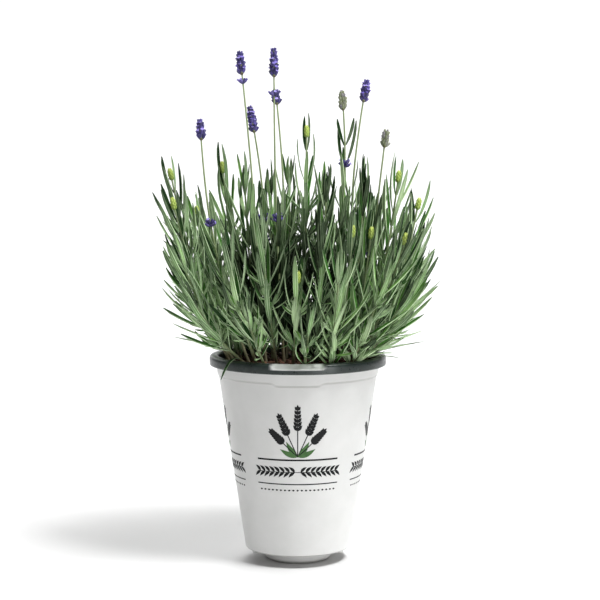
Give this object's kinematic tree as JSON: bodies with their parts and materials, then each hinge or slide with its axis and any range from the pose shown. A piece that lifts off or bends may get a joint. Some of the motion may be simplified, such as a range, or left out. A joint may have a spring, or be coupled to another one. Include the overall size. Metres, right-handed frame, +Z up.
{
  "type": "potted lavender",
  "caption": "Compact lavender in a tapered white nursery pot with a dark rolled rim: upright leafy shoots, purple flower spikes on thin bare stalks, bark potting mix, narrow base plug.",
  "frame": {"origin": "centre of the flat underside of the pot's base plug, on the surface the pot stands on", "axes": "+Z up along the pot's axis; -Y towards the front, where the rim has its flattened facet; +X to the right seen from the front"},
  "size_m": [0.2587, 0.2469, 0.4585],
  "materials": {
    "pot_white": "smooth white plastic, soft gloss, with a plain printed leaf sprig",
    "pot_dark": "dark grey-green plastic, satin",
    "bark_mix": "damp reddish-brown shredded bark, rough and dull",
    "foliage": "living grey-green leaf and stem, finely downy, paler underneath and along the edges",
    "flower_purple": "downy violet-blue flower heads",
    "flower_faded": "downy grey-green flower heads that are not yet open"
  },
  "bodies": {
    "root": {"pot_body": "pot_white", "pot_rim": "pot_dark", "potting_mix": "bark_mix", "leafy_shoot_01": "foliage", "leafy_shoot_02": "foliage", "leafy_shoot_03": "foliage", "leafy_shoot_04": "foliage", "leafy_shoot_05": "foliage", "leafy_shoot_06": "foliage", "leafy_shoot_07": "foliage", "leafy_shoot_08": "foliage", "leafy_shoot_09": "foliage", "leafy_shoot_10": "foliage", "leafy_shoot_11": "foliage", "leafy_shoot_12": "foliage", "leafy_shoot_13": "foliage", "leafy_shoot_14": "foliage", "leafy_shoot_15": "foliage", "leafy_shoot_16": "foliage", "leafy_shoot_17": "foliage", "leafy_shoot_18": "foliage", "leafy_shoot_19": "foliage", "leafy_shoot_20": "foliage", "leafy_shoot_21": "foliage", "leafy_shoot_22": "foliage", "leafy_shoot_23": "foliage", "leafy_shoot_24": "foliage", "leafy_shoot_25": "foliage", "leafy_shoot_26": "foliage", "leafy_shoot_27": "foliage", "leafy_shoot_28": "foliage", "leafy_shoot_29": "foliage", "leafy_shoot_30": "foliage", "leafy_shoot_31": "foliage", "leafy_shoot_32": "foliage", "leafy_shoot_33": "foliage", "leafy_shoot_34": "foliage", "leafy_shoot_35": "foliage", "leafy_shoot_36": "foliage", "leafy_shoot_37": "foliage", "leafy_shoot_38": "foliage", "leafy_shoot_39": "foliage", "leafy_shoot_40": "foliage", "flowering_shoot_1": "foliage", "flowering_shoot_2": "foliage", "flowering_shoot_3": "foliage", "flowering_shoot_4": "foliage", "flowering_shoot_5": "foliage", "flowering_shoot_6": "foliage", "flowering_shoot_7": "foliage", "flowering_shoot_8": "foliage", "flower_spike_1": "flower_purple", "flower_spike_2": "flower_purple", "flower_spike_3": "flower_purple", "flower_spike_4": "flower_purple", "flower_spike_5": "flower_purple", "flower_spike_6": "flower_faded", "flower_spike_7": "flower_purple", "flower_spike_8": "flower_faded"}
  },
  "joints": []
}
